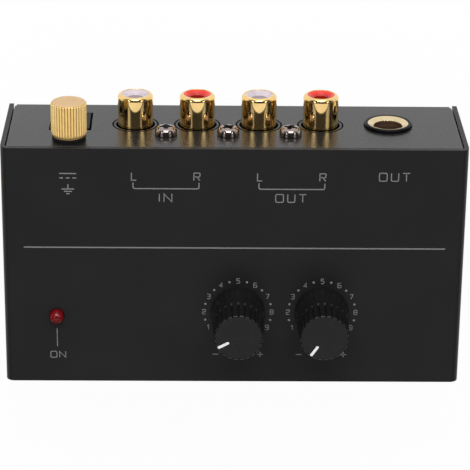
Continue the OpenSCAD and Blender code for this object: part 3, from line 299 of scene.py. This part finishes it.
def crossed_heads(name, color, roughness):
    """Plated screw heads, dull inside the cross recess of each panel screw, with shade painted dark there
    and on a disc at its middle.
    """
    recess_shade_color = (0.012, 0.01, 0.009)
    f = Finish(name, color, roughness, metallic=1.0, Specular_IOR_Level=0.1)
    lo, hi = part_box("panel_screws")
    head_radius = (hi.z - lo.z) / 2
    middle = (lo + hi) / 2
    places = (lo.x + head_radius, middle.x, hi.x - head_radius)
    left, centre, right = [f.off_axis((x, middle.y, middle.z)) for x in places]
    nearest = f.math("MINIMUM", f.math("MINIMUM", left, centre), right)
    reach = RECESS_SHARE * head_radius
    near = f.falling(nearest, reach, (1 + RECESS_EDGE) * reach)
    sunk = f.falling(f.along("Y"), hi.y - 0.12 * MM, hi.y - 0.05 * MM)
    shade_core = f.falling(nearest, SHADE_CORE_SHARE * reach, (SHADE_CORE_SHARE + SHADE_CORE_EDGE) * reach)
    # Painted shade: the recess and a disc at its middle are coloured near black.
    inside = f.math("MAXIMUM", f.math("MULTIPLY", near, sunk), shade_core)
    tone = f.clouded(color, 1.2 * MM, dark=0.92, light=1.06)
    f.plate_outside(inside, tone, roughness, recess_shade_color)
    f.rounded(0.06 * MM)
    f.bump(f.grain(0.08 * MM), depth=0.0006 * MM)
    return f.done()


def turned_metal(name, color, roughness):
    """The thumb screw's blasted metal: rings on an end face painted darker as shade, painted shade in the
    grooves of its knurl.
    """
    lo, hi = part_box("ground_screw")
    crest = (hi.x - lo.x) / 2
    radius = 0.06 * MM
    ring_pitch = 0.09 * MM
    groove_shade_color = (0.2, 0.08, 0.012)
    end_face_shade_color = (0.53, 0.33, 0.14)
    f = Finish(name, color, roughness, metallic=0.2)
    across = f.off_axis(centre_of("ground_screw"))
    jitter = f.math("MULTIPLY", f.noise(0.8 * MM), 0.05 * MM)
    turns = f.math("MULTIPLY", f.math("ADD", across, jitter), 2 * math.pi / ring_pitch)
    rings = f.math("SINE", turns)
    tone = f.clouded(color, 1.6 * MM, dark=0.92, light=1.05)
    tone = f.mix(f.edges(2 * radius, gain=1.5), tone, shade(color, 1.15))
    # Painted shade: the knurl's grooves are coloured darker with depth below the crests.
    depth = f.math("SUBTRACT", crest, across)
    groove = f.rising(depth, 0.13 * MM, 0.96 * GROOVE_SHADE_DEPTH)
    rim = f.falling(depth, GROOVE_SHADE_DEPTH, 1.2 * GROOVE_SHADE_DEPTH)
    tone = f.mix(f.math("MULTIPLY", groove, rim), tone, groove_shade_color)
    # Painted shade: the end face is coloured darker than the ribs of the same metal.
    face = f.rising(f.along("Y"), hi.y - 0.08 * MM, hi.y - 0.03 * MM)
    f.set("Base Color", f.mix(face, tone, end_face_shade_color))
    f.set("Roughness", f.spread(f.noise(0.12 * MM), roughness * 0.85, roughness * 1.2))
    f.rounded(radius)
    f.bump(f.math("ADD", rings, f.grain(0.07 * MM)), depth=0.0012 * MM)
    return f.done()


def plated_mouth(name, color, roughness):
    """The phone jack's plated bevel, and dull brass painted dark as shade deeper in its bore."""
    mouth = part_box("phone_jack_bush")[1].y - MOUTH_DEPTH
    bore_shade_color = (0.05, 0.024, 0.012)
    f = Finish(name, color, roughness, metallic=1.0)
    # Painted shade: below the bevel the bore is coloured dark.
    inside = f.falling(f.along("Y"), mouth - 0.06 * MM, mouth)
    tone = f.clouded(color, 1.6 * MM, dark=0.94, light=1.06)
    f.plate_outside(inside, tone, roughness, bore_shade_color)
    f.rounded(0.04 * MM)
    f.bump(f.grain(0.09 * MM), depth=0.0005 * MM)
    return f.done()


def printed_ink(name, color):
    """Screen-printed ink, thin enough to take a little of the paint's grain."""
    f = Finish(name, color, 0.5)
    patch = f.spread(f.noise(0.25 * MM), 0.0, 1.0)
    f.set("Base Color", f.mix(patch, shade(color, 0.8), shade(color, 1.1)))
    f.set("Roughness", f.spread(patch, 0.45, 0.6, 0.0, 1.0))
    f.bump(f.grain(0.3 * MM), depth=0.004 * MM)
    return f.done()


def tinted_lens(name, color):
    """The lamp's diffused lens: deep colour under a smooth glossy skin."""
    f = Finish(name, color, 0.2, IOR=1.25, Coat_Weight=0.3, Coat_Roughness=0.05)
    f.set("Base Color", f.clouded(color, 0.9 * MM, dark=0.8, light=1.2))
    f.set("Roughness", f.spread(f.noise(0.4 * MM), 0.16, 0.24))
    f.bump(f.grain(0.6 * MM), depth=0.0008 * MM)
    return f.done()


# ---- the finish of each CAD node ----


def make_finishes():
    """The materials by the record's slot name."""
    # The knobs' wider edge radius also widens their lighter rim, a painted highlight.
    knob_grain = {"grain": 0.3 * MM, "depth": 0.005 * MM, "radius": 0.15 * MM}
    return {
        "cover_paint": powder_coat("cover_paint", (0.0112, 0.0112, 0.0115), 0.4, index=1.26),
        "tray_paint": powder_coat("tray_paint", (0.0105, 0.0105, 0.011), 0.27, index=1.38),
        "black_steel": plated("black_steel", (0.05, 0.05, 0.052), 0.35),
        "rubber": moulded("rubber", (0.02, 0.02, 0.02), 0.75, grain=0.4 * MM, depth=0.01 * MM),
        "board_green": moulded("board_green", (0.02, 0.14, 0.05), 0.3),
        "tin": plated("tin", (0.6, 0.6, 0.58), 0.35),
        "black_nickel": crossed_heads("black_nickel", (0.34, 0.28, 0.26), 0.08),
        "black_moulding": moulded("black_moulding", (0.004, 0.004, 0.0042), 0.32, IOR=1.16),
        "gold_plate": plated("gold_plate", (0.91, 0.637, 0.26), 0.06, depth=0.0004 * MM),
        "pale_gold": plated_mouth("pale_gold", (0.74, 0.61, 0.37), 0.1),
        "white_insert": moulded("white_insert", (0.51, 0.44, 0.48), 0.32),
        "red_insert": dished("red_insert", (0.7, 0.026, 0.014), 0.3),
        "contact_brass": plated("contact_brass", (0.75, 0.52, 0.2), 0.3),
        "capacitor_sleeve": moulded("capacitor_sleeve", (0.03, 0.05, 0.12), 0.35),
        "thumb_brass": turned_metal("thumb_brass", (1.0, 0.69, 0.26), 0.3),
        "washer_black": moulded("washer_black", (0.005, 0.005, 0.005), 0.5, IOR=1.3),
        "lamp_red": tinted_lens("lamp_red", (0.14, 0.002, 0.004)),
        "rotor_brown": moulded("rotor_brown", (0.15, 0.08, 0.04), 0.6),
        "knob_black": moulded("knob_black", (0.006, 0.006, 0.0063), 0.34, IOR=1.36, **knob_grain),
        "pointer_white": moulded("pointer_white", (0.82, 0.82, 0.82), 0.4),
        "film_yellow": moulded("film_yellow", (0.55, 0.42, 0.12), 0.35),
        "resistor_tan": moulded("resistor_tan", (0.45, 0.33, 0.2), 0.4),
    }


def dress_nodes(finishes):
    """Gives every CAD node the finish of its slot, and the phono collars one of their own."""
    collar = moulded("collar_black", (0.006, 0.006, 0.0062), 0.3, IOR=1.36)
    for part in frame["record"]["subparts"]:
        node = frame["nodes"][part["node"]]
        finish = collar if part["node"] == "rca_housing" else finishes[part["material_slot"]]
        for place in node.material_slots:
            place.material = finish


# ---- mesh pieces ----


def mesh_piece(name, bm, material, body):
    """An object from a bmesh, riding on a body."""
    mesh = bpy.data.meshes.new(name)
    bmesh.ops.recalc_face_normals(bm, faces=bm.faces)
    bm.to_mesh(mesh)
    bm.free()
    piece = bpy.data.objects.new(name, mesh)
    bpy.context.scene.collection.objects.link(piece)
    mesh.materials.append(material)
    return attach(piece, body)


def turn_corner(a, corner, b, radius, steps=4):
    """Points of a rounded corner between a and b."""
    to_a = (a - corner).normalized()
    to_b = (b - corner).normalized()
    reach = min(radius, (a - corner).length / 2, (b - corner).length / 2)
    start = corner + to_a * reach
    end = corner + to_b * reach
    out = []
    for i in range(steps + 1):
        t = i / steps
        out.append(start.lerp(corner, t).lerp(corner.lerp(end, t), t))
    return out


def round_path(points, radius, closed=False):
    """A polyline with its corners rounded."""
    points = [Vector(p) for p in points]
    if radius <= 0 or len(points) < 3:
        return points
    count = len(points)
    out = [] if closed else [points[0]]
    for i in range(count) if closed else range(1, count - 1):
        out += turn_corner(points[i - 1], points[i], points[(i + 1) % count], radius)
    return out if closed else out + [points[-1]]


def draw_stroke(bm, points, width, closed=False):
    """A printed line along 2D points on the labelled face, in metres."""
    count = len(points)
    rows = []
    for i, point in enumerate(points):
        before = points[i - 1] if i or closed else None
        after = points[(i + 1) % count] if i < count - 1 or closed else None
        ahead = (after - point).normalized() if after is not None else None
        behind = (point - before).normalized() if before is not None else ahead
        ahead = ahead or behind
        along = (ahead + behind).normalized()
        side = Vector((-along.y, along.x))
        stretch = 1 / max(0.5, side.dot(Vector((-ahead.y, ahead.x))))
        left = point + side * width / 2 * stretch
        right = point - side * width / 2 * stretch
        rows.append(
            [
                bm.verts.new((*left, FACE_Z - INK_DEPTH)),
                bm.verts.new((*left, FACE_Z + INK_HEIGHT)),
                bm.verts.new((*right, FACE_Z + INK_HEIGHT)),
                bm.verts.new((*right, FACE_Z - INK_DEPTH)),
            ]
        )
    for i in range(count if closed else count - 1):
        near, far = rows[i], rows[(i + 1) % count]
        for k in range(3):
            bm.faces.new((near[k], far[k], far[k + 1], near[k + 1]))
    if not closed:
        bm.faces.new(rows[0])
        bm.faces.new(rows[-1])


# ---- legends ----

# Each sign's width and its strokes. A stroke is (points, corner radius, closed), in a cell 1 by 1.
LOOP = [(0, 0), (1, 0), (1, 1), (0, 1)]
SIGNS = {
    "1": (0.45, [([(0.0, 0.76), (0.6, 1), (0.6, 0)], 0, False)]),
    "2": (0.62, [([(0, 0.8), (0, 1), (1, 1), (1, 0.5), (0, 0.45), (0, 0), (1, 0)], 0.25, False)]),
    "3": (0.62, [([(0, 1), (1, 1), (1, 0), (0, 0)], 0.3, False), ([(0.2, 0.52), (1, 0.52)], 0, False)]),
    "4": (0.66, [([(0.72, 0), (0.72, 1), (0, 0.3), (1, 0.3)], 0, False)]),
    "5": (0.62, [([(1, 1), (0, 1), (0, 0.56), (1, 0.56), (1, 0), (0, 0)], 0.25, False)]),
    "6": (0.62, [([(1, 1), (0, 1), (0, 0), (1, 0), (1, 0.55), (0, 0.55)], 0.25, False)]),
    "7": (0.62, [([(0, 1), (1, 1), (0.35, 0)], 0, False)]),
    "8": (0.62, [(LOOP, 0.3, True), ([(0, 0.52), (1, 0.52)], 0, False)]),
    "9": (0.62, [([(0, 0), (1, 0), (1, 1), (0, 1), (0, 0.45), (1, 0.45)], 0.25, False)]),
    "O": (0.92, [(LOOP, 0.35, True)]),
    "N": (0.92, [([(0, 0), (0, 1), (1, 0), (1, 1)], 0, False)]),
    "I": (0.1, [([(0.5, 0), (0.5, 1)], 0, False)]),
    "U": (0.85, [([(0, 1), (0, 0), (1, 0), (1, 1)], 0.3, False)]),
    "T": (0.85, [([(0, 1), (1, 1)], 0, False), ([(0.5, 1), (0.5, 0)], 0, False)]),
    "L": (0.6, [([(0, 1), (0, 0), (1, 0)], 0, False)]),
    "R": (
        0.75,
        [([(0, 0), (0, 1), (1, 1), (1, 0.48), (0, 0.48)], 0.25, False), ([(0.5, 0.48), (1, 0)], 0, False)],
    ),
}


def face_point(x, y):
    """A point on the labelled face, in millimetres from its middle."""
    return Vector((FACE_CENTRE.x + x * MM, FACE_CENTRE.y + y * MM))


def draw_path(bm, points, width, radius=0.0, closed=False):
    """A stroke through points given in millimetres from the face's middle."""
    path = round_path([face_point(x, y) for x, y in points], radius * MM, closed)
    draw_stroke(bm, path, width * MM, closed)


def draw_word(bm, word, x, y, height, gap=0.5, weight=0.25):
    """A word centred on x, standing on y, in millimetres from the face's middle."""
    widths = [SIGNS[c][0] * height for c in word]
    left = x - (sum(widths) + gap * height * (len(word) - 1)) / 2
    for c, width in zip(word, widths):
        for points, radius, closed in SIGNS[c][1]:
            cell = [(left + px * width, y + py * height) for px, py in points]
            draw_path(bm, cell, weight, radius * height * CORNER_SHARE, closed)
        left += width + gap * height


def draw_dot(bm, x, y, radius, sides=20):
    """A printed dot, as a short closed stroke round its own middle."""
    ring = [
        face_point(x + radius / 2 * math.cos(a), y + radius / 2 * math.sin(a))
        for a in (2 * math.pi * i / sides for i in range(sides))
    ]
    draw_stroke(bm, ring, radius * MM, True)


def face_place(node):
    """A node's place on the labelled face, in millimetres from the face's middle."""
    place = (centre_of(node) - FACE_CENTRE) / MM
    return place.x, place.y


def dial_legends(ink):
    """Nine numbers on a ring round each dial, with a dot between each two."""
    number_ring = 8.15
    number_height = 1.2
    dot_ring = 8.1
    dot_radius = 0.28
    first_angle = -120
    step = 30
    for dial in DIALS:
        bm = bmesh.new()
        x, y = face_place(f"{dial}_shaft")
        for i in range(9):
            angle = math.radians(first_angle + step * i)
            number_x = x + number_ring * math.sin(angle)
            foot = y + number_ring * math.cos(angle) - number_height / 2
            draw_word(bm, str(i + 1), number_x, foot, number_height, weight=0.17)
        for i in range(8):
            angle = math.radians(first_angle + step * (i + 0.5))
            draw_dot(bm, x + dot_ring * math.sin(angle), y + dot_ring * math.cos(angle), dot_radius)
        mesh_piece(f"{dial}_scale", bm, ink, "chassis")


def line_legend(ink):
    """The long line across the labelled face."""
    left = -49.9
    right = 50.3
    y = 5.1
    bm = bmesh.new()
    draw_path(bm, [(left, y), (right, y)], width=0.33)
    mesh_piece("dividing_line", bm, ink, "chassis")


def lamp_legend(ink):
    """The short line under the lamp and its ON."""
    line_top = -3.3
    line_foot = -8.1
    word_foot = -11.1
    word_shift = 0.15
    bm = bmesh.new()
    x, y = face_place("power_led")
    draw_path(bm, [(x, y + line_top), (x, y + line_foot)], width=0.2)
    draw_word(bm, "ON", x + word_shift, y + word_foot, height=1.6, gap=0.4, weight=0.22)
    mesh_piece("lamp_legend", bm, ink, "chassis")


def socket_legends(ink):
    """A bracket with L and R, and IN or OUT, under each pair of phono sockets, and OUT at the jack."""
    bracket_top = 21.7
    bracket_foot = 20.2
    left_overhang = 0.2
    right_overhang = 0.5
    letter_foot = 22.3
    letter_height = 1.9
    word_foot = 16.9
    word_height = 2.0
    jack_word_foot = 22.4
    jack_word_shift = 0.6
    bm = bmesh.new()
    for pair, word in (((1, 2), "IN"), ((3, 4), "OUT")):
        left, right = [face_place(f"rca_shell_{i}")[0] for i in pair]
        start = left - left_overhang
        end = right + right_overhang
        bracket = [(start, bracket_top), (start, bracket_foot), (end, bracket_foot), (end, bracket_top)]
        draw_path(bm, bracket, LEGEND_WEIGHT, radius=0.5)
        draw_word(bm, "L", left, letter_foot, letter_height)
        draw_word(bm, "R", right, letter_foot, letter_height)
        draw_word(bm, word, (left + right) / 2, word_foot, word_height)
    jack_x = face_place("phone_jack_bush")[0]
    draw_word(bm, "OUT", jack_x + jack_word_shift, jack_word_foot, word_height)
    mesh_piece("socket_legends", bm, ink, "chassis")


def draw_bar(bm, x, y, half):
    """A level line whose middle is at x, y, reaching half its length each way."""
    draw_path(bm, [(x - half, y), (x + half, y)], LEGEND_WEIGHT)


def power_legends(ink):
    """The direct-current sign over the power socket's place and the earth sign under it."""
    line_height = 23.9
    dash_height = 22.8
    dash_pitch = 1.55
    stem_top = 21.2
    stem_foot = 20.1
    earth_height = 20.0
    earth_pitch = 0.6
    bm = bmesh.new()
    x = face_place("dc_socket_body")[0]
    draw_bar(bm, x, line_height, half=2.0)
    for k in (-1, 0, 1):
        draw_bar(bm, x + dash_pitch * k, dash_height, half=0.45)
    draw_path(bm, [(x, stem_top), (x, stem_foot)], LEGEND_WEIGHT)
    for k, half in enumerate((1.5, 0.95, 0.4)):
        draw_bar(bm, x, earth_height - earth_pitch * k, half)
    mesh_piece("power_legends", bm, ink, "chassis")


def sign_legends(ink):
    """A minus and a plus at the two sides of each dial's foot."""
    y = -22.9
    minus = -5.3
    plus = 5.5
    half = 0.7
    weight = 0.25
    for dial in DIALS:
        bm = bmesh.new()
        x = face_place(f"{dial}_shaft")[0]
        for sign in (minus, plus):
            draw_path(bm, [(x + sign - half, y), (x + sign + half, y)], weight)
        draw_path(bm, [(x + plus, y - half), (x + plus, y + half)], weight)
        mesh_piece(f"{dial}_signs", bm, ink, "chassis")


# ---- studio ----


def make_floor():
    """A pale floor that shows white and keeps the object's shadow."""
    half = 4.0
    white_share = 0.97
    corners = [(-half, -half, 0), (half, -half, 0), (half, half, 0), (-half, half, 0)]
    mesh = bpy.data.meshes.new("floor")
    mesh.from_pydata(corners, [], [(0, 1, 2, 3)])
    floor = bpy.data.objects.new("floor", mesh)
    bpy.context.scene.collection.objects.link(floor)
    material = bpy.data.materials.new("floor")
    material.use_nodes = True
    tree = material.node_tree
    paper = tree.nodes["Principled BSDF"]
    paper.inputs["Base Color"].default_value = (0.86, 0.86, 0.86, 1)
    paper.inputs["Roughness"].default_value = 0.9
    glow = tree.nodes.new("ShaderNodeEmission")
    path = tree.nodes.new("ShaderNodeLightPath")
    seen = tree.nodes.new("ShaderNodeMath")
    seen.operation = "MAXIMUM"
    tree.links.new(path.outputs["Is Camera Ray"], seen.inputs[0])
    tree.links.new(path.outputs["Is Glossy Ray"], seen.inputs[1])
    share = tree.nodes.new("ShaderNodeMath")
    share.operation = "MULTIPLY"
    share.inputs[1].default_value = white_share
    tree.links.new(seen.outputs[0], share.inputs[0])
    blend = tree.nodes.new("ShaderNodeMixShader")
    tree.links.new(share.outputs[0], blend.inputs[0])
    tree.links.new(paper.outputs[0], blend.inputs[1])
    tree.links.new(glow.outputs[0], blend.inputs[2])
    tree.links.new(blend.outputs[0], tree.nodes["Material Output"].inputs["Surface"])
    mesh.materials.append(material)


def make_world():
    """White where the camera sees it. Its light is strong low down, and higher up fades to the back."""
    world = bpy.data.worlds.new("studio")
    bpy.context.scene.world = world
    world.use_nodes = True
    tree = world.node_tree
    sky = tree.nodes["Background"]
    sky.inputs["Color"].default_value = (1, 1, 1, 1)

    def graded(value, limits, levels):
        made = tree.nodes.new("ShaderNodeMapRange")
        made.interpolation_type = "SMOOTHSTEP"
        names = ("From Min", "From Max", "To Min", "To Max")
        for name, level in zip(names, (*limits, *levels)):
            made.inputs[name].default_value = level
        tree.links.new(value, made.inputs["Value"])
        return made

    direction = tree.nodes.new("ShaderNodeTexCoord").outputs["Generated"]
    split = tree.nodes.new("ShaderNodeSeparateXYZ")
    tree.links.new(direction, split.inputs[0])
    overhead = graded(split.outputs["Y"], (-0.5, 0.5), (0.2, 0.02))
    low = graded(split.outputs["Z"], (0.05, 0.35), (0.6, 0.0))
    light = tree.nodes.new("ShaderNodeMath")
    light.operation = "MAXIMUM"
    tree.links.new(overhead.outputs["Result"], light.inputs[0])
    tree.links.new(low.outputs["Result"], light.inputs[1])
    path = tree.nodes.new("ShaderNodeLightPath")
    level = tree.nodes.new("ShaderNodeMath")
    level.operation = "MAXIMUM"
    tree.links.new(path.outputs["Is Camera Ray"], level.inputs[0])
    tree.links.new(light.outputs[0], level.inputs[1])
    tree.links.new(level.outputs[0], sky.inputs["Strength"])


def soft_light(name, place, target, size, power):
    """An area light at place, facing target."""
    data = bpy.data.lights.new(name, "AREA")
    data.shape = "RECTANGLE"
    data.size, data.size_y = size
    data.energy = power
    light = bpy.data.objects.new(name, data)
    bpy.context.scene.collection.objects.link(light)
    light.location = place
    light.rotation_euler = (Vector(target) - Vector(place)).to_track_quat("-Z", "Y").to_euler()


def make_lights():
    """Soft boxes about a metre away: two at the sides, two behind and one in front."""
    target = (0, 0, 0.02)
    soft_light("left_box", (-0.68, 0.42, 0.72), target, (0.32, 0.36), 1.7)
    soft_light("right_box", (0.68, 0.42, 0.72), target, (0.32, 0.36), 1.7)
    soft_light("back_box", (0.0, 0.86, 0.72), target, (0.9, 0.4), 11)
    soft_light("front_box", (0.0, -0.44, 0.95), target, (2.0, 0.4), 2.0)
    soft_light("rear_box", (0.0, 1.0, 0.2), target, (0.9, 0.35), 1.5)


def make_camera():
    """The camera at the photograph's place, fitted to the box's edges."""
    data = bpy.data.cameras.new("camera")
    camera = bpy.data.objects.new("camera", data)
    bpy.context.scene.collection.objects.link(camera)
    camera.location = (-0.008635, 0.215087, 0.533774)
    camera.rotation_euler = [math.radians(a) for a in (-22.5561, -0.98588, 0.72819)]
    data.sensor_width = 36
    data.lens = 175.485
    data.shift_x = -0.022121
    data.shift_y = -0.027665
    data.clip_start = 0.01
    bpy.context.scene.camera = camera


# ---- the whole ----

finishes = make_finishes()
dress_nodes(finishes)
ink = printed_ink("ink", (0.2, 0.2, 0.2))
for legend in (dial_legends, line_legend, lamp_legend, socket_legends, power_legends, sign_legends):
    legend(ink)
make_floor()
make_world()
make_lights()
make_camera()
bpy.context.scene.view_settings.view_transform = "Standard"
